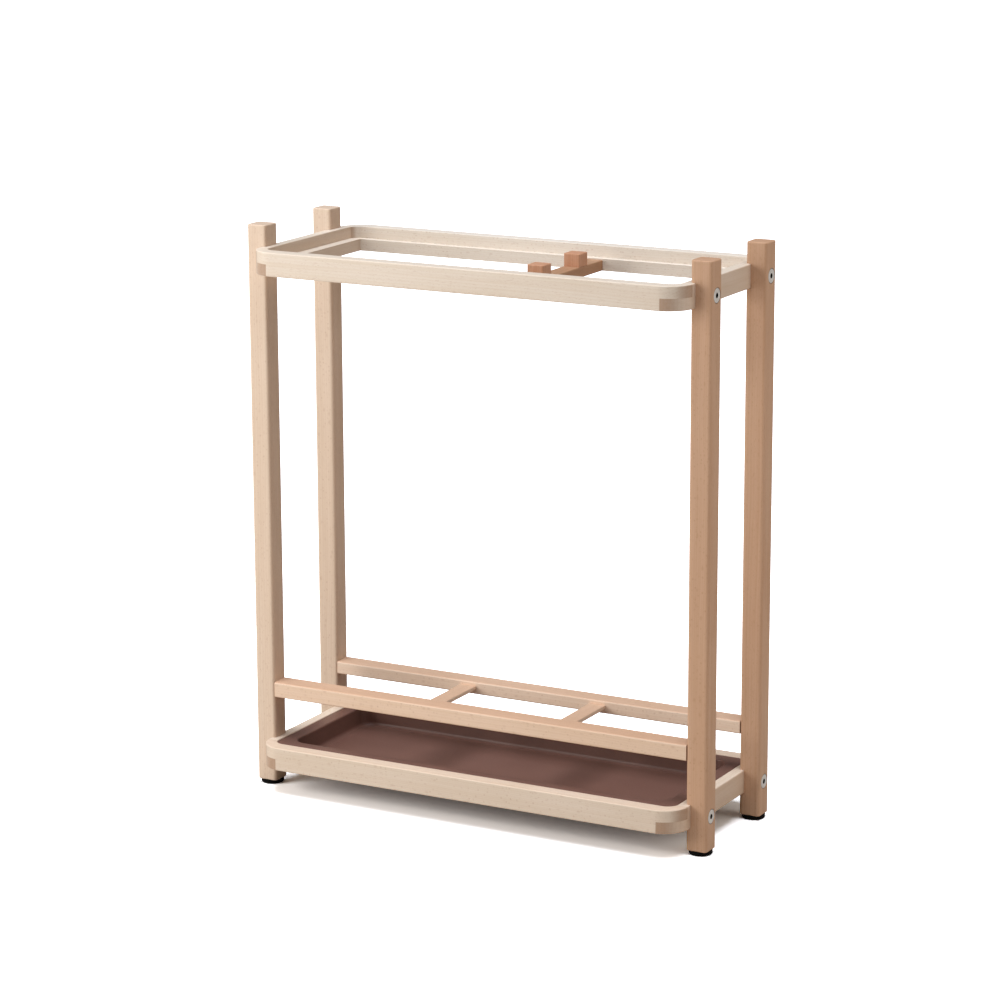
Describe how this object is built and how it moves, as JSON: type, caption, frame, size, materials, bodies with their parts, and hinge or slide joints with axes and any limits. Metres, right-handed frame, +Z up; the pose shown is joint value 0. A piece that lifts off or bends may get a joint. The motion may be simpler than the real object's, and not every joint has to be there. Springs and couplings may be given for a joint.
{
  "type": "umbrella stand",
  "caption": "Free-standing beech umbrella stand: square posts bolted to two lapped frames, a divided rack, short pegs and a lift-out drip tray.",
  "frame": {"origin": "on the floor, under the middle of the stand", "axes": "+Z up, +X along the stand to its right end, -Y to the front"},
  "size_m": [0.571, 0.23, 0.65],
  "materials": {
    "post_beech": "satin lacquered beech",
    "frame_beech": "satin lacquered pale beech",
    "rack_beech": "satin lacquered beech",
    "peg_beech": "satin lacquered beech",
    "dowel_beech": "raw turned beech",
    "tray_plastic": "fine matt texture, dark red-brown",
    "foot_rubber": "matt black",
    "bolt_steel": "bright zinc plate",
    "insert_brass": "turned",
    "screw_steel": "zinc plated"
  },
  "bodies": {
    "stand": {"post_front_left": "post_beech", "foot_front_left": "foot_rubber", "post_front_right": "post_beech", "foot_front_right": "foot_rubber", "post_back_left": "post_beech", "foot_back_left": "foot_rubber", "post_back_right": "post_beech", "foot_back_right": "foot_rubber", "top_rail_front": "frame_beech", "top_rail_back": "frame_beech", "top_rail_left": "frame_beech", "top_rail_right": "frame_beech", "base_rail_front": "frame_beech", "base_rail_back": "frame_beech", "base_rail_left": "frame_beech", "base_rail_right": "frame_beech", "rack_rail_front": "rack_beech", "peg_front": "peg_beech", "rack_rail_back": "rack_beech", "peg_back": "peg_beech", "rack_slat_left": "rack_beech", "rack_slat_right": "rack_beech", "top_cross_rail": "rack_beech", "frame_bolts": "bolt_steel", "threaded_inserts": "insert_brass", "rack_dowels": "dowel_beech", "cross_rail_dowels": "dowel_beech", "peg_screws": "screw_steel", "slat_screws": "screw_steel"},
    "tray": {"drip_tray": "tray_plastic"}
  },
  "joints": [
    {"name": "tray_lift", "type": "slide", "parent": "stand", "child": "tray", "axis": [0, 0, 1], "range_m": [0, 0.038]}
  ]
}
